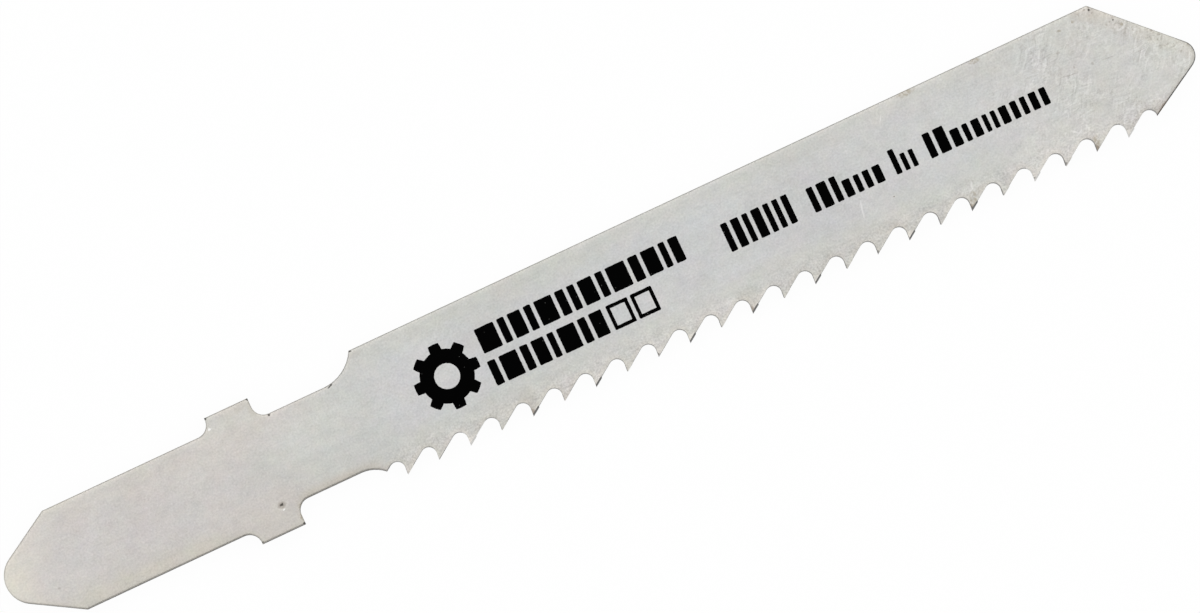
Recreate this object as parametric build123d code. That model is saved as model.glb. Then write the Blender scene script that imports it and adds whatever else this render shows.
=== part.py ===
"""A jigsaw blade with a T-shank, stamped from one steel strip, with milled teeth set to both sides.

The blade lies flat. +X runs along it from the tang to the tip, +Y points to its back edge,
the teeth point to -Y, and the printed side faces +Z. The origin is below its middle, on the
surface that it lies on. While the blade is made, X counts from the tang's end, Y from the
middle of the strip and Z from the underside.
"""
import os
from math import cos, radians, sin, tan

from build123d import *

# Strip that the blade is stamped from. All lengths are in millimetres, all angles in degrees
overall_length = 75.3
strip_width = 8.0
thickness = 1.0
edge_break = 0.05

# Tang, the end that the saw clamps: a round nose, a slope to each edge, then parallel edges
tang_length = 14.45
tang_width = 6.25
tang_slope_angle = 30.7
tang_nose_radius = 1.62

# Lugs of the T, as wide as the strip, with a round root at the tang and at the neck
lug_length = 2.75
lug_tang_radius = 0.8
lug_neck_radius = 0.75

# Neck: how far each of its edges runs straight, and the arc that climbs out of it
neck_width = 5.35
back_neck_length = 4.25
back_climb_radius = 2.5
tooth_neck_length = 4.15
tooth_climb_radius = 2.0

# Tip: a slope from each edge, angled to the blade's length, and a round nose off the middle
tip_back_angle = 45.0
tip_tooth_angle = 30.0
tip_nose_radius = 0.9
tip_nose_offset = 0.94

# Teeth: a straight flank behind each tip, a round gullet and a hooked front face
first_tip_lead = 2.41
tooth_pitch = 2.0
tip_inset = 0.11
flank_angle = 34.2
hook_angle = 4.2
gullet_radius = 0.48

# Set: the outer part of a tooth is bent to the printed side (1) or to the other (-1), and one
# tooth in seven stays straight (0)
set_height = 0.35
set_angle = 6.0
set_pattern = (-1, 0, 1, -1, 1, -1, 1)

# How far a milling cut runs on past the strip's edge
cut_overrun = 1.0

# Places that follow from these sizes, along the blade and across it
half_strip = strip_width / 2
half_thickness = thickness / 2
lug_end = tang_length + lug_length
first_tip = lug_end + tooth_neck_length + first_tip_lead
tip_line = tip_inset - half_strip
bend_line = tip_line + set_height
nose_x = overall_length - tip_nose_radius
nose_y = -tip_nose_offset

# How far a set tooth stands out of the blade's side
set_drop = set_height * sin(radians(set_angle)) - half_thickness * (1 - cos(radians(set_angle)))


def slope_length(nose_radius, angle, width):
    """How far behind a round nose's centre a slope at this angle, tangent to the nose, leaves
    the edge that lies this far beside the centre."""
    return (cos(radians(angle)) * width - nose_radius) / sin(radians(angle))


# Where the slopes of the tip start, on the back edge and on the tooth edge
back_slope_start = nose_x - slope_length(tip_nose_radius, tip_back_angle, half_strip - nose_y)
tooth_slope_start = nose_x - slope_length(tip_nose_radius, tip_tooth_angle, half_strip + nose_y)

# Whole teeth fit before the slope, which cuts the next one short
whole_teeth = int((tooth_slope_start - first_tip) / tooth_pitch) + 1


def tang_outline():
    """The tang from its round nose up to the neck."""
    slope_end = tang_nose_radius + slope_length(tang_nose_radius, tang_slope_angle, tang_width / 2)
    nose = Pos(tang_nose_radius, 0) * Circle(tang_nose_radius)
    shank = Pos((slope_end + lug_end) / 2, 0) * Rectangle(lug_end - slope_end, tang_width)
    return make_hull(nose.edges() + shank.edges())


def body_outline():
    """The full strip from the lugs to the tip's round nose."""
    nose = Pos(nose_x, nose_y) * Rot(0, 0, 180) * Circle(tip_nose_radius)
    strip = make_face(Polyline(
        (tang_length, half_strip), (back_slope_start, half_strip),
        (tooth_slope_start, -half_strip), (tang_length, -half_strip), close=True,
    ))
    return make_hull(nose.edges() + strip.edges())


def lug_face(edge):
    """How much flat face a lug shows beside a tang or neck whose edge lies this far out."""
    return half_strip - edge - 2 * edge_break


def lug_root():
    """The web that rounds the corner between the tang and the lug on the +Y edge."""
    half = tang_width / 2
    radius = min(lug_tang_radius, lug_face(half))
    square = Pos(tang_length - radius / 2, half + radius / 2) * Rectangle(radius, radius)
    return square - Pos(tang_length - radius, half + radius) * Circle(radius)


def neck_notch(straight_length, climb_radius):
    """What is stamped out beside the neck on the +Y edge: a corner at the lug, a straight
    stretch, and an arc that climbs back to the strip's edge."""
    half = neck_width / 2
    length = straight_length + climb_radius
    depth = half_strip - half + climb_radius
    notch = Pos(lug_end + length / 2, half + depth / 2) * Rectangle(length, depth)
    corner = notch.vertices().sort_by_distance((lug_end, half))[0]
    notch = fillet(corner, min(lug_neck_radius, lug_face(half)))
    corner = notch.vertices().sort_by_distance((lug_end + length, half))[0]
    return fillet(corner, climb_radius)


def stamped_blank():
    """The blade after stamping, before its teeth are milled, with its edges broken."""
    outline = body_outline() + tang_outline() + lug_root() + mirror(lug_root(), Plane.XZ)
    outline -= neck_notch(back_neck_length, back_climb_radius)
    outline -= mirror(neck_notch(tooth_neck_length, tooth_climb_radius), Plane.XZ)
    blank = extrude(outline, thickness)
    sides = blank.faces().group_by(Axis.Z)
    return chamfer(sides[0].edges() + sides[-1].edges(), edge_break)


def tooth_gap():
    """The gap milled between two tips, with the tip before it at the origin."""
    rise = tan(radians(flank_angle))
    lean = tan(radians(hook_angle))
    root_y = tooth_pitch * rise / (1 - rise * lean)
    mouth_y = -tip_inset - cut_overrun
    outline = make_face(Polyline(
        (0, 0), (root_y / rise, root_y), (tooth_pitch, 0), (tooth_pitch, mouth_y), (0, mouth_y), close=True,
    ))
    root = outline.vertices().sort_by(Axis.Y)[-1]
    return extrude(fillet(root, gullet_radius), thickness)


def bent_zone(index):
    """The space around the outer part of one tooth, from below its tip up to the bend line."""
    corner = Pos(first_tip + (index - 0.5) * tooth_pitch, bend_line, 0)
    return corner * Box(tooth_pitch, strip_width, thickness, align=(Align.MIN, Align.MAX, Align.MIN))


def bent_tooth(outer_part, side):
    """A tooth's outer part turned to one side about the bend line, at mid-thickness, with the
    wedge filled that opens on the outside of the bend."""
    bend = Axis((0, bend_line, half_thickness), (-side, 0, 0))
    root = outer_part.faces().sort_by(Axis.Y)[-1].bounding_box()
    outside = Pos(root.center().X, bend_line, half_thickness - side * thickness / 4)
    section = outside * (Plane.XZ * Rectangle(root.size.X, half_thickness))
    return [outer_part.rotate(bend, set_angle), revolve(section, bend, set_angle)]


def blade():
    """The whole blade: stamped, milled and set."""
    gap = tooth_gap()
    gaps = [Pos(first_tip + (index - 1) * tooth_pitch, tip_line) * gap for index in range(whole_teeth + 1)]
    milled = stamped_blank() - gaps
    zones = []
    teeth = []
    for index in range(whole_teeth):
        side = set_pattern[index % len(set_pattern)]
        if side:
            zones.append(bent_zone(index))
            teeth += bent_tooth(milled & zones[-1], side)
    return Pos(-overall_length / 2, 0, set_drop) * (milled - zones + teeth)


os.makedirs("parts", exist_ok=True)
model = blade()
model.label = "blade"
export_step(model, "parts/blade.step")
print("whole teeth:", whole_teeth, " set to each side:", round(set_drop, 4))
print("solids:", len(model.solids()), " volume:", round(model.volume, 2), " box:", model.bounding_box().size)
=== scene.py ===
# %% [markdown]
# A jigsaw blade with a T-shank, lying on a white table.
# The real blade is one piece of steel: a strip is stamped to its outline, the teeth are milled
# along one edge and then bent a little to both sides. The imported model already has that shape
# at its real size, so this script leaves the solid as it is and gives it what a solid can't
# have: the finish of rolled steel, its sheared edges, its wear and its print.
# We load the model first and keep its box, because everything here is measured from it.

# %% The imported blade
import math

import bmesh
import bpy
from mathutils import Matrix, Vector
from mathutils.noise import noise_vector, seed_set


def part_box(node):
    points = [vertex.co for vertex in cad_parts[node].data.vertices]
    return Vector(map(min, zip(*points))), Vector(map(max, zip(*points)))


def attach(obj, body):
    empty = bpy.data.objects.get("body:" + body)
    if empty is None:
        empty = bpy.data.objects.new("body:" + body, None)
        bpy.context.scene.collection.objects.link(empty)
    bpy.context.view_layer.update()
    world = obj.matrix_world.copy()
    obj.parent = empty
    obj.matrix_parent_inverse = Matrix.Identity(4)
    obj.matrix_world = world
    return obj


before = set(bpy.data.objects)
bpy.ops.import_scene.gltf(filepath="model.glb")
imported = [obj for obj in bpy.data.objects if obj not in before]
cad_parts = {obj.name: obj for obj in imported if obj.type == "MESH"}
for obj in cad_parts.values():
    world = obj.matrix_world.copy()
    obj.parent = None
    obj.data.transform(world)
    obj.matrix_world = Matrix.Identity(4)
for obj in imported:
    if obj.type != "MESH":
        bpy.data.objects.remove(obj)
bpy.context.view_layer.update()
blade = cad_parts["blade"]
blade_low, blade_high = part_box("blade")
millimetres = 1000
blade_length = (blade_high.x - blade_low.x) * millimetres
print("blade:", round(blade_length, 2), "mm long,", len(blade.data.polygons), "faces")

# %% [markdown]
# The photograph looks almost straight down on the blade, which lies turned, with its tip up
# and to the right. Such a picture is easiest to set up backwards: we note where the middle of
# the blade lies in the photograph, how many pixels a millimetre takes and how far the blade is
# turned, and work out from these where the camera stands. A long lens keeps the outline free
# of perspective. The tilt is small, and it is why the lower edges show a thin dark side.

# %% The photograph's frame
photo_width = 1200
photo_height = 613
blade_middle_x = 597.24
blade_middle_y = 310.66
pixels_per_metre = 17317
blade_turn = math.radians(25.113)
camera_tilt = math.radians(3.3)
camera_distance = 1.0

photo_right = Vector((math.cos(blade_turn), -math.sin(blade_turn), 0))
photo_up = Vector((math.sin(blade_turn), math.cos(blade_turn), 0))
to_right = (photo_width / 2 - blade_middle_x) / pixels_per_metre
to_top = (blade_middle_y - photo_height / 2) / pixels_per_metre
view_middle = to_right * photo_right + to_top * photo_up + Vector((0, 0, blade_high.z))
print("the view is centred on", [round(v * millimetres, 2) for v in view_middle], "mm")

# %% The camera
towards_camera = math.cos(camera_tilt) * Vector((0, 0, 1)) - math.sin(camera_tilt) * photo_up
camera_up = towards_camera.cross(photo_right)
lens_data = bpy.data.cameras.new("camera")
lens_data.sensor_width = 36
lens_data.lens = lens_data.sensor_width * camera_distance * pixels_per_metre / photo_width
lens_data.clip_start = 0.05
lens_data.clip_end = 20
camera = bpy.data.objects.new("camera", lens_data)
axes = Matrix((photo_right, camera_up, towards_camera)).transposed()
camera.matrix_world = Matrix.Translation(view_middle + camera_distance * towards_camera) @ axes.to_4x4()
bpy.context.scene.collection.objects.link(camera)
bpy.context.scene.camera = camera
bpy.context.scene.view_settings.view_transform = "Standard"
print("lens:", round(lens_data.lens), "mm")

# %% [markdown]
# Materials are networks of nodes, and a sum in them takes a node for each step. Written out,
# that is long and hard to read. So we wrap a node's output in a small class that knows the
# arithmetic signs: an expression in Python then adds its Math nodes by itself. Every other
# node comes from one method, which sets the node up first and then fills its sockets.

# %% Shader maths as expressions
class Wire:
    """One output of a shader node. Arithmetic on it adds Math nodes to its tree."""

    def __init__(self, tree, socket=None):
        self.tree = tree
        self.socket = socket

    def node(self, kind, settings=None, sockets=None, output=0):
        """Adds a node of a kind, makes its settings, fills its sockets and gives an output."""
        made = self.tree.nodes.new("ShaderNode" + kind)
        for name, value in (settings or {}).items():
            if name == "stops":
                fill_ramp(made.color_ramp, value)
            else:
                setattr(made, name, value)
        for name, value in (sockets or {}).items():
            if isinstance(value, Wire):
                self.tree.links.new(value.socket, made.inputs[name])
            else:
                made.inputs[name].default_value = value
        return Wire(self.tree, made.outputs[output] if made.outputs else None)

    def also(self, output):
        """Another output of the same node."""
        return Wire(self.tree, self.socket.node.outputs[output])

    def maths(self, operation, *values):
        """A step of Math on the values, which are wires or plain numbers."""
        return self.node("Math", {"operation": operation}, dict(enumerate(values)))

    def vector(self, operation, *values, output="Vector"):
        """A step of Vector Math on this wire and others, or plain triples."""
        values = dict(enumerate((self, *values)))
        return self.node("VectorMath", {"operation": operation}, values, output)

    def __add__(self, other):
        return self.maths("ADD", self, other)

    def __sub__(self, other):
        return self.maths("SUBTRACT", self, other)

    def __rsub__(self, other):
        return self.maths("SUBTRACT", other, self)

    def __mul__(self, other):
        return self.maths("MULTIPLY", self, other)

    def __abs__(self):
        return self.maths("ABSOLUTE", self)

    __radd__ = __add__
    __rmul__ = __mul__

    def lower(self, other):
        """The smaller of this and another number."""
        return self.maths("MINIMUM", self, other)

    def higher(self, other):
        """The larger of this and another number."""
        return self.maths("MAXIMUM", self, other)

    def rise(self, start, end):
        """0 before start and 1 after end, with a smooth climb between. An end below the
        start turns the climb round."""
        if end < start:
            return 1 - self.rise(end, start)
        return self.node(
            "MapRange",
            {"interpolation_type": "SMOOTHSTEP"},
            {"Value": self, "From Min": start, "From Max": end},
        )

    def band(self, start, full_from, full_until, end):
        """1 from full_from to full_until, 0 before start and after end, smooth between."""
        return self.rise(start, full_from) * self.rise(end, full_until)


def fill_ramp(ramp, stops):
    """Puts the stops, from place to colour, on a colour ramp."""
    while len(ramp.elements) < len(stops):
        ramp.elements.new(0.5)
    for element, (position, colour) in zip(ramp.elements, stops.items()):
        element.position = position
        element.color = colour


def grey(level):
    """A grey this bright, as a colour."""
    return (level, level, level, 1)


def mixed(amount, first, second):
    """The first colour where the amount is 0, the second where it is 1."""
    return amount.node("Mix", {"data_type": "RGBA"}, {0: amount, 6: first, 7: second}, output=2)


def between(amount, first, second):
    """The first number where the amount is 0, the second where it is 1."""
    return first + (second - first) * amount


def scaled(colour, amount):
    """A colour made darker or lighter by a factor."""
    return amount.node("VectorMath", {"operation": "SCALE"}, {0: colour, "Scale": amount})


def new_material(name):
    """A material with an empty tree, and a wire that starts new nodes in it."""
    material = bpy.data.materials.new(name)
    material.use_nodes = True
    material.node_tree.nodes.clear()
    return material, Wire(material.node_tree)


# %% [markdown]
# The table is a white sheet that fills the view, as on a product photograph, where it comes
# out pure white. More light would do that and spoil the steel. Instead the table glows for
# the camera, and for mirror and glass rays, at the strength that is just white, and stays a
# plain white sheet for all other light. A small share of that sheet is left in what the
# camera sees, so that the blade keeps its thin shadow where it meets the table.

# %% The table
table_radius = 2.0
table_gap = 0.00001
table_glow = 0.965
table_white = grey(0.95)
table_roughness = 0.8


def table_material():
    material, start = new_material("white_table")
    ray = start.node("LightPath", output="Is Camera Ray")
    seen = ray.higher(ray.also("Is Glossy Ray")).higher(ray.also("Is Transmission Ray"))
    sheet = start.node("BsdfPrincipled", None, {
        "Base Color": table_white,
        "Roughness": table_roughness,
    })
    glow = start.node("Emission", sockets={"Color": grey(1), "Strength": 1})
    both = start.node("MixShader", sockets={0: seen * table_glow, 1: sheet, 2: glow})
    start.node("OutputMaterial", sockets={"Surface": both})
    return material


def new_piece(name, mesh, material):
    """An object from a finished bmesh, at the origin, with its material."""
    data = bpy.data.meshes.new(name)
    mesh.to_mesh(data)
    mesh.free()
    data.materials.append(material)
    piece = bpy.data.objects.new(name, data)
    bpy.context.scene.collection.objects.link(piece)
    return piece


disc = bmesh.new()
bmesh.ops.create_circle(disc, cap_ends=True, segments=96, radius=table_radius)
bmesh.ops.translate(disc, verts=disc.verts, vec=(0, 0, -table_gap))
table = new_piece("table", disc, table_material())
print("table:", table_radius, "m in radius")

# %% [markdown]
# Bare steel is a mirror with a rough surface, so it shows the room and not a colour of its
# own. A flat face takes the tone of what stands over it, and a bevelled edge that of what
# stands beside it. So the room is the real light here. It is even and white for a good way
# round the top, so that a tooth that is bent a little looks like the flat steel beside it.
# Towards the lower right it falls to dark, which draws the dark line on the lower edges. On
# the other side it first grows a little lighter, for the thin light line on the upper edges,
# and then falls to dark at the horizon, for the darker rim outside that line. The camera
# itself sees white behind the table.

# %% The room's light
room_dark = grey(0.16)
room_over = grey(0.972)
room_light = grey(1.08)
room_low = grey(0.10)
even_from = -0.36
even_to = 0.20
lightest_at = 0.50
to_light = (0.8 * photo_up - 0.6 * photo_right).normalized()


def light_room():
    world = bpy.data.worlds.new("room")
    world.use_nodes = True
    world.node_tree.nodes.clear()
    bpy.context.scene.world = world
    start = Wire(world.node_tree)
    # A direction counts as 1 where it points to the light, 0 overhead and -1 away from it.
    side = start.node("TexCoord", output="Generated").vector("DOT_PRODUCT", to_light, output="Value")
    stops = {
        -1: room_dark,
        even_from: room_over,
        even_to: room_over,
        lightest_at: room_light,
        1: room_low,
    }
    # A ramp starts at 0 and not at -1, so the stops and the direction are both halved and moved.
    stops = {0.5 + place / 2: colour for place, colour in stops.items()}
    colour = side.node("ValToRGB", {"stops": stops}, {"Fac": side * 0.5 + 0.5})
    seen = start.node("LightPath", output="Is Camera Ray")
    glow = start.node("Background", sockets={"Color": mixed(seen, colour, grey(1)), "Strength": 1})
    start.node("OutputWorld", sockets={"Surface": glow})


light_room()
print("room: from", room_dark[0], "to", room_light[0])

# %% [markdown]
# The room lights everything evenly, so the blade would cast hardly any shadow in it, and its
# marks would look flat. Two square lamps add a direction. They are almost as large as they
# are far away, because a small lamp would leave a glaring spot on the steel. The stronger one
# stands behind the blade, and a weaker one on the right fills in.

# %% Two soft lamps
lamp_distance = 0.8
lamp_size = 0.7
key_power = 0.9
fill_power = 0.4
up = Vector((0, 0, 1))
key_direction = 0.7 * up + 0.6 * photo_up - 0.3 * photo_right
fill_direction = 0.8 * up - 0.3 * photo_up + 0.8 * photo_right


def softbox(name, towards, power):
    """A square lamp that stands off in one direction and shines on the blade's middle."""
    lamp = bpy.data.lights.new(name, "AREA")
    lamp.shape = "SQUARE"
    lamp.size = lamp_size
    lamp.energy = power
    stand = bpy.data.objects.new(name, lamp)
    towards = towards.normalized()
    stand.location = towards * lamp_distance
    stand.rotation_euler = towards.to_track_quat("Z", "Y").to_euler()
    bpy.context.scene.collection.objects.link(stand)


softbox("key_lamp", key_direction, key_power)
softbox("fill_lamp", fill_direction, fill_power)
print("lamps:", key_power, "and", fill_power, "W")

# %% [markdown]
# The finish is drawn in millimetres on the blade itself: X counts from the tang's end to the
# tip, Y from the middle line to the back edge, Z up from the underside. A Mapping node turns
# Object coordinates into these, so every pattern below has a real size and stays where it is
# when the blade turns. The direction that a face looks in tells the faces from the sides.

# %% Places and faces
origin_x = -blade_low.x * millimetres
thickness = 1.0
# The teeth stand out of both sides by the same, so the flat body is in the middle of the height.
body_low_z = (blade_high.z * millimetres - thickness) / 2
body_high_z = body_low_z + thickness


def blade_place(start):
    """Places on the blade in millimetres, from the tang's end, its middle line and its underside."""
    spot = start.node("TexCoord", output="Object")
    return spot.node("Mapping", None, {
        "Vector": spot,
        "Location": (origin_x, 0, -body_low_z),
        "Scale": (millimetres, millimetres, millimetres),
    })


finish, start = new_material("blade_steel")
place = blade_place(start)
x = place.node("SeparateXYZ", None, {0: place})
y = x.also(1)
z = x.also(2)

facing = start.node("TexCoord", output="Normal")
facing = facing.node("SeparateXYZ", None, {0: facing}, output=2)
# Facing is 1 on the upper face, about 0.7 on its chamfers, 0 on a side and -1 underneath.
on_side = abs(facing).rise(0.55, 0.35)
upward = facing.rise(0.1, 0.5)
chamfer = abs(facing).rise(0.95, 0.8)
print("places:", round(origin_x, 2), "mm from the tang's end to the origin")

# %% [markdown]
# Most of what steel shows is noise of different sizes: cloudy tones a few millimetres wide
# from rolling and heat treatment, a mottle of half a millimetre, and a grain that is finer
# than one tooth tip. A Noise texture gives all of them, if each gets its own size. Stretched
# along one direction, the same noise makes streaks.

# %% Noise of a given size
noise_start = 100
noise_shrink = 2.13


def in_sizes(base, size, turn, shift):
    """Places counted in a pattern's own sizes: how long, wide and deep a feature of it is."""
    size = size if isinstance(size, tuple) else (size, size, size)
    return base.node("Mapping", {"vector_type": "TEXTURE"}, {
        "Vector": base,
        "Location": (shift, shift, shift),
        "Rotation": (0, 0, math.radians(turn)),
        "Scale": size,
    })


def noise(base, size, turn=0, detail=2, rough=0.5, warp=0, shift=0):
    """Noise from 0 to 1 whose features are this many millimetres long, wide and deep. Its layers
    shrink by an uneven factor, from a start beside the blade, so that they never line up."""
    spot = in_sizes(base, size, turn, noise_start + shift)
    return spot.node("TexNoise", None, {
        "Vector": spot, "Scale": 1, "Detail": detail, "Roughness": rough, "Distortion": warp,
        "Lacunarity": noise_shrink,
    })


def swing(pattern, depth):
    """A pattern that runs from 0 to 1, turned into a change to both sides of 0, this deep in all."""
    return (pattern - 0.5) * depth


clouds = noise(place, 9.0)
tints = noise(place, 2.6, detail=3, rough=0.6, shift=31)
mottle = noise(place, (0.8, 0.5, 0.8), detail=3, rough=0.65)
grain = noise(place, 0.12, rough=0.6)
hues = noise(place, 1.8, detail=4, rough=0.8, shift=17).also("Color")
print("noise: clouds, tints, mottle, grain and hues")

# %% [markdown]
# Wear is sparse: specks, pits and scratches lie here and there, each with a clear edge. For
# those a Voronoi texture is better than noise. It scatters points, and tells how far the
# nearest one is and a random number that belongs to it. Small distances give round dots, and
# the random number picks a few of them. In stretched space the dots become thin scratches.

# %% Dots and scratches
dot_core = 0.5


def dots(base, size, share, radius, turn=0, shift=0):
    """Scattered dots, 1 on a dot and 0 beside it. Radius counts in sizes, share from 0 to 1."""
    spot = in_sizes(base, size, turn, shift)
    distance = spot.node("TexVoronoi", None, {"Vector": spot, "Scale": 1})
    chance = distance.node("SeparateColor", None, {0: distance.also("Color")})
    return distance.rise(radius, radius * dot_core) * chance.maths("LESS_THAN", chance, share)


def bent(base, size, amount, shift=0):
    """Places pushed about by noise, so that straight lines bow and round marks turn uneven."""
    push = noise(base, size, detail=1, shift=shift).also("Color")
    push = push.vector("SUBTRACT", (0.5, 0.5, 0.5)).vector("MULTIPLY", (amount, amount, 0))
    return push.vector("ADD", base)


specks = dots(place, 1.3, 0.10, 0.045)
pits = dots(place, 0.35, 0.03, 0.12, shift=7)
bowed = bent(place, 2.5, 0.8)
scratches = dots(bowed, (2.4, 0.03, 60), 0.012, 0.4, turn=35)
scratches = scratches.higher(dots(bowed, (1.6, 0.025, 60), 0.012, 0.4, turn=-28, shift=5))
scratches = scratches.higher(dots(bowed, (3.2, 0.03, 60), 0.010, 0.4, turn=4, shift=9))
print("wear: specks, pits and three lays of scratches")

# %% [markdown]
# Near the tip the steel is marked more, with short light wisps that cross each other. Noise
# alone is too soft for them, so its crests and troughs are cut out as strokes. Two layers lie
# at different angles, and a distortion bends their strokes. They come in patches, mostly on
# the half with the back edge, and a few of them are left all along the blade.

# %% The tip's wisps
tip_start = 60
tip_full = 70
least_wisps = 0.15


def strokes(wave):
    """Cuts smooth noise into separate strokes: 1 on its crests, -1 in its troughs."""
    return wave.rise(0.52, 0.68) - wave.rise(0.46, 0.30)


towards_tip = x.rise(tip_start, tip_full)
wisps = strokes(noise(place, (1.0, 0.30, 0.9), turn=55, detail=2, warp=1.8))
wisps = wisps + strokes(noise(place, (0.8, 0.24, 0.7), turn=2, detail=2, warp=2.4, shift=12))
patches = noise(place, 2.2, shift=41).rise(0.38, 0.56) + 0.25 + y.rise(-0.5, 1.0) * 0.35
wisps = wisps * between(towards_tip, least_wisps, 1) * patches
print("wisps: in full from", tip_full, "mm on")

# %% [markdown]
# A punch pulls the edge of the steel down before it cuts, so a stamped edge is round. The
# solid has a small flat chamfer there. The Bevel node adds the rest: it turns the direction
# that a face looks in, near an edge, without a change to the shape. A narrow bevel with a
# share of a wide one starts gently and ends sharply, as the real edge does. The teeth were
# milled afterwards, so theirs stay sharp. How far the wide bevel turns a face also tells how
# near the edge is.

# %% Round edges
narrow_edge = 0.00008
wide_edge = 0.0005
wide_share = 0.25
teeth_from_x = 23.0
teeth_to_x = 72.6
teeth_blend = 0.3
sharp_below_y = -2.4
sharp_blend = 0.2


def bevel(radius):
    return start.node("Bevel", {"samples": 4}, {"Radius": radius})


def blended(amount, first, second):
    """The first direction where the amount is 0, the second where it is 1."""
    return start.node("Mix", {"data_type": "VECTOR"}, {0: amount, 4: first, 5: second}, output=1)


plain = start.node("NewGeometry", output="Normal")
wide = bevel(wide_edge)
along_teeth = x.band(teeth_from_x, teeth_from_x + teeth_blend, teeth_to_x - teeth_blend, teeth_to_x)
sharp = along_teeth * y.rise(sharp_below_y, sharp_below_y - sharp_blend)
rounded = blended(wide_share, bevel(narrow_edge), wide)
rounded = blended(sharp, rounded, plain).vector("NORMALIZE")
edge_turn = 1 - wide.vector("DOT_PRODUCT", plain, output="Value")
print("edges: rounded over", narrow_edge * millimetres, "and", wide_edge * millimetres, "mm")

# %% [markdown]
# The sides tell how the blade was made. A punch shears steel only part of the way: first it
# leaves a bright band with fine upright lines, and then the rest breaks off rough and darker.
# The teeth are milled, so there the lines run over the full thickness and nothing is broken.

# %% The sides
milled_below_y = -2.85
milled_blend = 0.05
break_height = 0.58
break_blend = 0.02
break_swing = 0.16
milled = along_teeth * y.rise(milled_below_y, milled_below_y - milled_blend)
upright_lines = noise(place, (0.05, 0.05, 2.5), detail=3, rough=0.6)
ragged = noise(place, (0.25, 0.25, 0.9), shift=3)
sheared = (z + swing(ragged, break_swing)).rise(break_height - break_blend, break_height + break_blend)
sheared = sheared.higher(milled)
broken = noise(place, (0.09, 0.09, 0.06), detail=3, rough=0.7)
print("sides: sheared above", break_height, "mm, milled between the teeth")

# %% [markdown]
# Some marks are large enough to be known one by one: a pit in the lug, stains in the corners,
# dark tips on a few teeth, and scratches near the tip. Each is a small ellipse that lies at
# its own place and angle. The distance from its middle, counted along and across the mark in
# its own half lengths, is less than one inside it. Places pushed about by fine noise keep the
# marks from looking drawn.

# %% Single marks
mark_end = 1.6
mark_core = 0.25
smudged = bent(place, 0.16, 0.14, shift=23)


def mark(middle_x, middle_y, length, width, turn=0):
    """Distance from a mark's middle, squared, where its outline is at 1."""
    turn = math.radians(turn)
    away = smudged.vector("SUBTRACT", (middle_x, middle_y, 0))
    along = (2 / length * math.cos(turn), 2 / length * math.sin(turn), 0)
    across = (-2 / width * math.sin(turn), 2 / width * math.cos(turn), 0)
    along = away.vector("DOT_PRODUCT", along, output="Value")
    across = away.vector("DOT_PRODUCT", across, output="Value")
    return along * along + across * across


def nearest_mark(first, *others):
    """Distance from the nearest of some marks, as mark gives it."""
    nearest = mark(*first)
    for other in others:
        nearest = nearest.lower(mark(*other))
    return nearest


def marks(*places):
    """A mask of some marks on the upper side: 1 in their middles and 0 outside them."""
    return nearest_mark(*places).rise(mark_end, mark_core) * upward


# %% The lug's pit and some bright scars
pit_halo = marks((16.40, -2.46, 0.50, 0.42))
pit_core = marks((16.40, -2.44, 0.20, 0.19))
bright = marks((16.42, -2.75, 0.17, 0.11), (14.46, 3.28, 0.24, 0.16))
scars = marks(
    (17.66, -2.0, 0.10, 0.08),
    (60.31, -2.62, 0.50, 0.10, 70),
    (60.16, -2.86, 0.34, 0.10, 20),
    (67.05, -2.35, 0.70, 0.09, -35),
    (67.25, -2.5, 0.45, 0.08, 30),
    (54.0, -1.2, 1.1, 0.12, 78),
    (57.17, 3.11, 0.5, 0.08, 60),
)
print("marks: the lug's pit and bright scars")

# %% Stains
stained = marks(
    (17.36, -3.05, 0.28, 0.5, 20),
    (17.18, -3.55, 0.24, 0.5),
    (60.05, -3.4, 0.45, 1.0, -20),
    (67.90, -3.4, 0.4, 0.8, -15),
    (59.1, 3.85, 1.1, 0.35),
    (63.5, 3.85, 0.7, 0.3),
    (68.69, 3.34, 0.28, 0.16),
    (69.64, 3.49, 0.22, 0.16),
    (72.13, 2.15, 0.2, 0.2),
)
clouded = marks(
    (16.60, 3.72, 0.9, 0.5, 20),
    (23.94, 3.66, 0.7, 0.4, 10),
    (17.15, 3.3, 0.5, 1.1),
    (60.60, -3.05, 0.8, 0.4, 25),
    (70.10, -3.30, 0.45, 0.6, -20),
    (70.3, 3.55, 1.8, 0.7, -25),
    (31.8, -3.0, 1.0, 1.6, -20),
    (45.9, -3.1, 1.0, 1.5, -20),
    (54.9, -2.75, 1.4, 0.7),
    (72.0, -3.1, 0.8, 0.9, -20),
)
flecks = noise(place, 0.14, shift=37).rise(0.35, 0.62)
print("marks: stains in the corners and on some teeth")

# %% Rust specks
# The tip's back slope lies at 45 degrees, so X and Y add up to the same all along its edge.
slope_edge = 74.73
rim_reach = 1.5
rim_full = 0.7
slope_rim = (x + y).rise(slope_edge - rim_reach, slope_edge - rim_full)
along_edges = edge_turn.rise(0.004, 0.03) * between(towards_tip, 0.15, 0.65)
rust = dots(smudged, 0.5, 0.45, 0.44, shift=13).higher(dots(smudged, 0.25, 0.45, 0.40, shift=29))
rust = rust * along_edges.higher(slope_rim) * upward * flecks
print("marks: rust specks along the edges, most of all on the tip's back slope")

# %% Dark specks
dark = marks(
    (17.18, 3.93, 0.18, 0.14),
    (14.49, 3.94, 0.16, 0.14),
    (21.82, 2.60, 0.4, 0.10, 20),
    (23.71, 3.93, 0.18, 0.12),
    (17.93, 2.58, 0.14, 0.12),
    (17.16, -3.94, 0.16, 0.14),
    (14.5, -3.94, 0.14, 0.12),
    (70.77, 3.70, 0.14, 0.12),
    (71.79, 2.60, 0.14, 0.12),
)
print("marks: dark specks")

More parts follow.
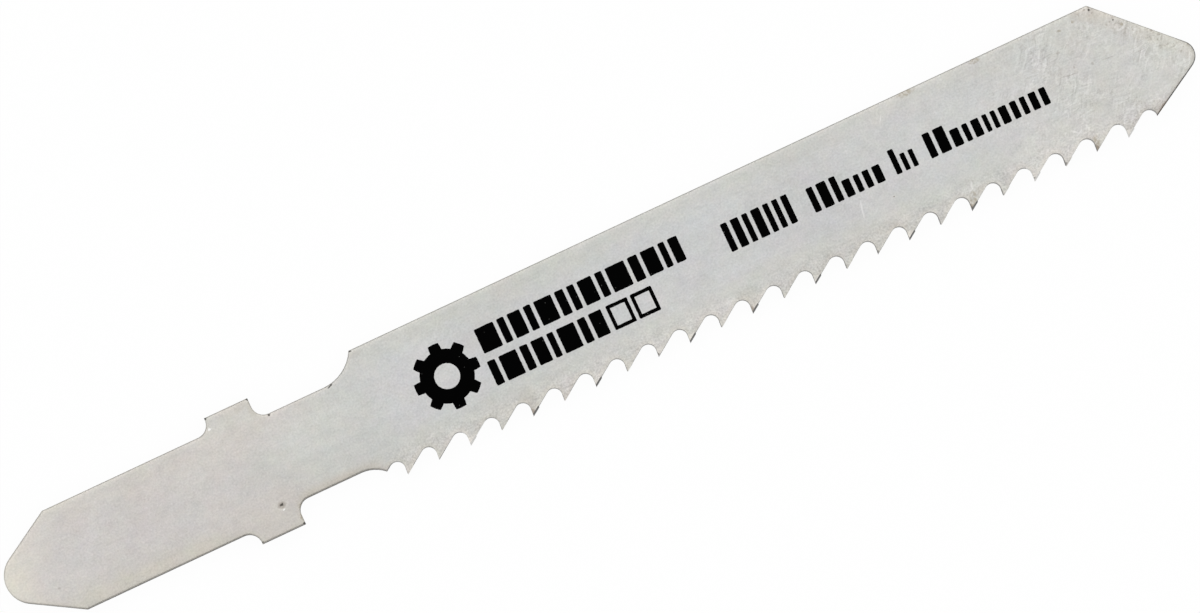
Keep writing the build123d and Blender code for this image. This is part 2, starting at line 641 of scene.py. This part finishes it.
# %% Faint marks near the tip
faint = marks(
    (2.76, -1.36, 0.18, 0.14),
    (68.09, 2.20, 0.24, 0.16),
    (69.65, 0.81, 0.2, 0.14),
    (68.57, 1.06, 0.16, 0.12),
    (73.89, 0.49, 0.5, 0.10, 60),
    (70.58, 0.71, 0.7, 0.05, -8),
    (72.47, 0.33, 0.5, 0.05, 3),
    (67.98, 0.78, 1.4, 0.05, -9),
)
print("marks: faint ones near the tip")

# %% Dark tooth tips
first_tip = 23.76
tooth_pitch = 2.0
tip_y = -3.76
brown_teeth = (4, 11, 18, 22)
black_teeth = (8, 15, 18, 20, 21)
lug_corner = (17.45, -3.4, 0.2, 0.9)
short_tooth = (72.35, -3.2, 1.1, 0.3, 30)


def tip_x(count):
    """Where a tooth's tip is along the blade, with the teeth counted from 0 at the neck."""
    return first_tip + tooth_pitch * count


brown_tips = [(tip_x(count), tip_y, 0.42, 0.5) for count in brown_teeth]
black_tips = [(tip_x(count), tip_y - 0.02, 0.24, 0.18) for count in black_teeth]
# Two masks: brown marks on some tooth tips, the lug's corner and the short last tooth, and black marks
# on other tips.
brown_marks = marks(short_tooth, lug_corner, *brown_tips)
dark_tip_marks = marks(*black_tips)
print("marks:", len(brown_tips), "brown and", len(black_tips), "black tooth tips")

# %% [markdown]
# Now the parts come together. Steel stays fully metallic, so its colour is what it mirrors:
# the base colour is about the tone that the photograph shows. The middle of the body is a
# cool grey. Round it, and all over the neck, the grey is faintly green. The tang has a mauve
# tint, which reaches a little further along the neck's edges, and the round nose and all
# edges are straw yellow, most of all on the side of the teeth. Each zone has a mask of its
# own, and noise moves the borders. A colour, a tone or a mark then follows these masks.

# %% Zones of the blade
tang_full_until = 12.0
tang_until = 17.4
edge_reach = 2.0
border_wander = 2.4
cool_from = 21
cool_full_from = 26
cool_full_until = 54
cool_until = 75
cool_middle_y = 0.6
nose_until = 3.6
tip_slope_from = 69.5
tip_slope_full = 70.5

wander = swing(tints, border_wander)
tang = (x - abs(y) * edge_reach + wander).rise(tang_until, tang_full_until)
off_middle = abs(y + wander - cool_middle_y)
cool = x.band(cool_from, cool_full_from, cool_full_until, cool_until) * off_middle.rise(3.0, 1.7)
nose = x.rise(nose_until, 0)
at_teeth = along_teeth * y.rise(-1.9, -3.3)
tooth_side = y.rise(0.5, -2.0)
tip_slope = x.rise(tip_slope_from, tip_slope_full) * y.rise(0.6, -0.6)
lower_tang = x.band(2.0, 4.5, 11.0, 14.5) * y.rise(-1.7, -3.1)
lower_neck = x.band(17.0, 18.0, 21.5, 23.5) * y.rise(-2.0, -2.65)
rim = edge_turn.rise(0.003, 0.06)
print("zones: tang, nose, middle, teeth, tip, lower edges and rim")

# %% Where the mauve and the straw yellow are
tang_back = y.rise(2.5, 3.0)
mauve = tang * between(tang_back, 1, 0.4)
mauve = mauve.higher(at_teeth * 0.5 + towards_tip * 0.25 + swing(tints, 0.5))

straw = nose.higher(rim * between(tooth_side, 0.4, 0.8)) + swing(mottle, 0.5) - wisps * 0.15
straw = straw + tang * abs(y).rise(0.6, 3.0) * 0.4
straw = straw + lower_tang.higher(lower_neck) + slope_rim * 0.55
straw = straw.higher(0).lower(1)
print("tints: mauve and straw yellow")

# %% The steel's tone
cloud_depth = 0.18
tint_depth = 0.12
mottle_depth = 0.22
grain_depth = 0.40
tone = 1 + swing(clouds, cloud_depth) + swing(tints, tint_depth)
tone = tone + swing(mottle, mottle_depth) + swing(grain, grain_depth)
print("tone: clouds, tints, mottle and grain")

# %% Broad shades
shade_core = 0.1
pale = nearest_mark((19.6, 0.8, 5.5, 3.4), (45.5, 3.1, 8.0, 3.0)).rise(mark_end, shade_core)
dull = nearest_mark((35.5, 2.8, 9.0, 3.0), (61.3, -1.8, 5.0, 3.0)).rise(mark_end, shade_core)
tang_shade = swing(x.rise(12.0, 2.0), 0.05) + y * 0.008 + y.rise(2.0, 3.1) * 0.02
tooth_grain = swing(mottle, 0.4) + swing(grain, 0.5)

# Each zone with how much lighter it is, or darker where that is below 0.
shades = (
    (nose, 0.10),
    (tang, tang_shade),
    (y, -0.003),
    (pale, 0.045),
    (dull, -0.035),
    (towards_tip, 0.040),
    (at_teeth, tooth_grain),
    (wisps, 0.095),
    (lower_neck, -0.07),
    (lower_tang, -0.02),
    # The last two rows are painted shade: the tip's slope is darker towards its edge, and the chamfers
    # are darker, most of all on the tip's slope.
    (tip_slope, edge_turn.rise(0.03, 0.2) * -0.3),
    (chamfer, -0.20 - tip_slope * 0.5),
)
for zone, change in shades:
    tone = tone + zone * change
print("tone:", len(shades), "shades")

# %% The steel's colour
green_steel = (0.590, 0.592, 0.562, 1)
cool_steel = (0.586, 0.588, 0.584, 1)
mauve_steel = (0.605, 0.580, 0.560, 1)
straw_steel = (0.610, 0.580, 0.525, 1)
hue_strength = (0.11, 0.08, 0.13)
stain_brown = (0.32, 0.27, 0.18, 1)
speck_brown = (0.16, 0.11, 0.07, 1)
mark_black = (0.03, 0.028, 0.025, 1)
mark_light = (0.95, 0.94, 0.92, 1)
scratch_light = (0.78, 0.77, 0.74, 1)

steel = mixed(cool, green_steel, cool_steel)
steel = mixed(mauve, steel, mauve_steel)
steel = mixed(straw, steel, straw_steel)
hues = hues.vector("SUBTRACT", (0.5, 0.5, 0.5)).vector("MULTIPLY", hue_strength)
hues = hues.vector("ADD", (1, 1, 1))
steel = scaled(steel.vector("MULTIPLY", hues), tone)

# Each layer of marks with how much of the steel it covers, from 0 to 1, and its colour.
layers = (
    (scratches * between(towards_tip, 0.12, 0.62), scratch_light),
    (specks * 0.6, speck_brown),
    (stained * between(flecks, 0.12, 0.57) + clouded * mottle * 0.25, stain_brown),
    ((rust * mottle * 0.75).higher(brown_marks * 0.55), speck_brown),
    ((pit_halo * 0.35).higher(faint * 0.25), speck_brown),
    (dark.higher(pit_core).higher(dark_tip_marks * 0.7) * 0.85, mark_black),
    ((bright * 0.8).higher(scars * 0.3), mark_light),
)
for cover, layer_colour in layers:
    steel = mixed(cover, steel, layer_colour)
print("colour: cool, green, mauve and straw steel with", len(layers), "layers of marks")

# %% [markdown]
# Seen from above, a side is only a thin line, yet it gives the outline its weight. The sides
# are rougher and darker than the faces, partly in the steel's own colour and partly as painted
# shade, and darkest where the steel broke. The milled flanks of the teeth are a little lighter,
# dark again at their tips, and bright on three teeth. The Math node's Compare tells whether a
# place is near a value, here the middle of such a flank.

# %% The sides' colour
# These dark side colours are partly the steel's own and partly painted shade.
side_sheared = (0.19, 0.18, 0.165, 1)
side_broken = (0.09, 0.083, 0.075, 1)
side_light = (0.62, 0.61, 0.585, 1)
side_milled = (0.26, 0.25, 0.235, 1)
side_dark = (0.070, 0.066, 0.058, 1)
light_teeth = (2, 20, 23)
flank_middle = 0.6
flank_reach = 0.75
dark_below_y = -3.35
dark_full_y = -3.5
line_depth = 0.8

light_flank = 0
for count in light_teeth:
    light_flank = light_flank + x.maths("COMPARE", x, tip_x(count) + flank_middle, flank_reach)
flanks = mixed(y.rise(dark_below_y, dark_full_y), side_milled, side_dark)
flanks = mixed(light_flank, flanks, side_light)
sides = mixed(sheared, side_broken, side_sheared)
sides = mixed(milled, sides, flanks)
sides = scaled(sides, 1 + swing(upright_lines, line_depth))
colour = mixed(on_side, steel, sides)
print("colour: sheared, broken and milled sides")

# %% [markdown]
# The same patterns give the polish and the relief, so that what looks like a scratch is a
# groove as well. Most of this relief is a few thousandths of a millimetre deep, far finer
# than a mesh could hold. The Bump node is right for it: it tilts the way a surface faces by
# the slope of a height, and leaves the shape alone.

# %% The steel's polish
face_roughness = 0.36
sheared_roughness = 0.55
broken_roughness = 0.85
face_rough = face_roughness + swing(mottle, 0.20) + swing(grain, 0.12)
side_rough = between(sheared, broken_roughness, sheared_roughness) + swing(upright_lines, 0.2)
rough = between(on_side, face_rough, side_rough)
print("roughness: about", face_roughness, "on the faces and", sheared_roughness, "on a sheared side")

# %% The steel's relief
# Heights are in thousandths of a millimetre, so the Bump node's distance is one of them.
micrometre = 0.000001
face_height = grain * 2.2 + mottle * 2.6 + wisps * 0.5 - scratches * 2 - specks * 4 - pits * 3
face_height = face_height - pit_halo * 14 - pit_core * 20
side_height = upright_lines * 6 + broken * (1 - sheared) * 14
relief = start.node("Bump", None, {
    "Strength": 1,
    "Distance": micrometre,
    "Height": between(on_side, face_height, side_height),
    "Normal": rounded,
})
print("relief: grain, mottle, scratches, specks and pits")

# %% The blade's material
surface = start.node("BsdfPrincipled", None, {
    "Base Color": colour,
    "Metallic": 1,
    "Roughness": rough,
    "Normal": relief,
})
start.node("OutputMaterial", sockets={"Surface": surface})
blade.material_slots[0].material = finish
print("blade_steel:", len(finish.node_tree.nodes), "nodes")

# %% [markdown]
# The print is a film of black ink on the steel, a few thousandths of a millimetre thick. It
# could be a mask in the steel's material, but a real film is a shape of its own, and as thin
# plates it has clean corners and is easy to change. It shows plain shapes only: a cog wheel,
# and rows of blocks. Each starts as a flat face, drawn in millimetres. Its corners are
# rounded, its edges divided and pushed about a little, as ink creeps on metal, and at the end
# all faces are pulled up to the film's thickness together.

# %% Flat shapes of ink
block_corner = 0.07
block_gap = 0.22
corner_steps = 3


def rectangle(mesh, left, bottom, width, height):
    """A flat block with slightly rounded corners, from its lower left corner on."""
    # A grid of size 0.5 is one unit wide, so a scale then gives it any width and height.
    verts = bmesh.ops.create_grid(mesh, x_segments=1, y_segments=1, size=0.5)["verts"]
    bmesh.ops.scale(mesh, vec=(width, height, 1), verts=verts)
    bmesh.ops.translate(mesh, vec=(left + width / 2, bottom + height / 2, 0), verts=verts)
    corners = bmesh.ops.bevel(
        mesh, geom=verts, offset=block_corner, segments=corner_steps,
        profile=0.5, affect="VERTICES", material=-1,
    )
    return corners["verts"][0].link_faces[0]


def row(mesh, left, bottom, height, *widths):
    """A row of blocks with a gap after each. Tells where the next one would start."""
    for width in widths:
        rectangle(mesh, left, bottom, width, height)
        left += width + block_gap
    return left


def outlined_block(mesh, left, bottom, width, height, line):
    """The outline of a block, drawn with a line of this width."""
    face = rectangle(mesh, left, bottom, width, height)
    bmesh.ops.inset_individual(mesh, faces=[face], thickness=line)
    bmesh.ops.delete(mesh, geom=[face], context="FACES_ONLY")


# %% The cog
cog_middle = (28.2, 0.25)
cog_outer = 2.0
cog_root = 1.6
cog_hole = 0.75
cog_teeth = 8
cog_flank = 2.5
cog_steps = 192


def cog(mesh):
    """A cog wheel with a round hole: two circles with a ring between them, whose outer one is
    pulled in between the teeth."""
    outer = bmesh.ops.create_circle(mesh, segments=cog_steps, radius=cog_outer)["verts"]
    hole = bmesh.ops.create_circle(mesh, segments=cog_steps, radius=cog_hole)["verts"]
    for vert in outer:
        wave = math.cos(cog_teeth * math.atan2(vert.co.y, vert.co.x))
        on_tooth = min(max(0.5 + cog_flank * wave, 0), 1)
        vert.co *= (cog_root + (cog_outer - cog_root) * on_tooth) / cog_outer
    circles = [edge for edge in mesh.edges if edge.is_wire]
    bmesh.ops.bridge_loops(mesh, edges=circles)
    bmesh.ops.translate(mesh, vec=(*cog_middle, 0), verts=outer + hole)


# %% [markdown]
# Two more steps turn the flat drawing into a film. Long edges of the outlines are divided,
# and a noise field pushes every point a little along the steel. The field has a seed, because
# without one it would be another field in each run. Then the faces are extruded, so that the
# film has an upper side, an underside that lies just inside the steel, and a thin rim between
# them.

# %% From drawing to film
ragged_step = 0.07
ragged_push = 0.016
ragged_size = 0.10
ragged_seed = 3
ink_thickness = 0.010
ink_sunk = 0.004


def roughened(mesh):
    """Divides the long edges of all outlines and pushes their points about a little."""
    for edge in [edge for edge in mesh.edges if edge.is_boundary]:
        cuts = int(edge.calc_length() / ragged_step)
        if cuts:
            bmesh.ops.subdivide_edges(mesh, edges=[edge], cuts=cuts)
    seed_set(ragged_seed)
    for vert in mesh.verts:
        push = noise_vector(vert.co / ragged_size)
        vert.co += ragged_push * Vector((push.x, push.y, 0))


def filmed(mesh):
    """Gives the flat faces the film's thickness and puts them on the steel, in metres."""
    raised = bmesh.ops.extrude_face_region(mesh, geom=list(mesh.faces))["geom"]
    raised = [thing for thing in raised if isinstance(thing, bmesh.types.BMVert)]
    bmesh.ops.translate(mesh, vec=(0, 0, ink_thickness), verts=raised)
    bmesh.ops.translate(mesh, vec=(-origin_x, 0, body_high_z - ink_sunk), verts=mesh.verts)
    bmesh.ops.scale(mesh, vec=[1 / millimetres] * 3, verts=mesh.verts)
    bmesh.ops.recalc_face_normals(mesh, faces=mesh.faces)


# %% [markdown]
# Printed ink isn't quite closed: dust and the grain of the steel leave pinholes. So its own
# material is black with a few fine light dots, drawn in the same millimetres as the steel's.

# %% The ink
ink_black = (0.0006, 0.0006, 0.0006, 1)
pinhole_grey = (0.18, 0.18, 0.17, 1)
pinhole_share = 0.7
ink_roughness = 0.55
ink_gloss = 0.01
film_height = 2


def ink_material():
    material, start = new_material("black_ink")
    place = blade_place(start)
    pinholes = dots(place, 0.30, 0.10, 0.10, shift=21).higher(dots(place, 0.17, 0.05, 0.14, shift=5))
    film = noise(place, 0.2, detail=3)
    height = film * film_height
    relief = start.node("Bump", None, {"Strength": 1, "Distance": micrometre, "Height": height})
    surface = start.node("BsdfPrincipled", None, {
        "Base Color": mixed(pinholes * pinhole_share, ink_black, pinhole_grey),
        "Roughness": ink_roughness + swing(film, 0.2),
        "Specular IOR Level": ink_gloss,
        "Normal": relief,
    })
    start.node("OutputMaterial", sockets={"Surface": surface})
    return material


# %% [markdown]
# The blocks stand in rows. Two rows lie one over the other beside the cog, and the lower one
# ends in two outlined blocks. A single row of four groups runs on from there towards the tip.
# In its last three groups, low blocks follow the tall ones on the same base line.

# %% The print
tallest = 1.75
tall = 1.52
short = 1.06
outlined_length = 1.35
outline_width = 0.22
upper_line = 0.5
lower_line = -1.5
long_line = -0.25

drawing = bmesh.new()
upper_row = (1.2, 0.45, 0.8, 0.45, 1.1, 0.55, 0.45, 0.9, 0.45, 1.2, 0.6, 0.9, 0.4, 0.6)
row(drawing, 30.7, upper_line, tall, *upper_row)
row(drawing, 30.6, lower_line, tall, 0.5, 1.1, 0.5, 0.8, 0.4, 1.1, 0.5, 0.8)
row(drawing, 46.15, long_line, tallest, 0.4, 0.5, 0.35, 0.55, 0.35, 0.35, 0.4)
left = row(drawing, 51.5, long_line, tall, 0.4, 0.6, 0.4)
row(drawing, left, long_line, short, 0.5, 0.35, 0.4, 0.5)
left = row(drawing, 56.7, long_line, tall, 0.35)
row(drawing, left, long_line, short, 0.3, 0.3)
left = row(drawing, 58.9, long_line, tall, 0.45, 0.65)
row(drawing, left, long_line, short, 0.55, 0.35, 0.5, 0.3, 0.3, 0.5, 0.4, 0.35, 0.45, 0.4)
outlined_block(drawing, 38.15, lower_line, outlined_length, tall, outline_width)
outlined_block(drawing, 39.7, lower_line, outlined_length, tall, outline_width)
cog(drawing)
roughened(drawing)
filmed(drawing)
ink_volume = drawing.calc_volume(signed=True) * millimetres ** 3
print("print:", len(drawing.faces), "faces,", round(ink_volume, 3), "mm3 of ink")
printed = new_piece("print", drawing, ink_material())
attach(printed, "root")
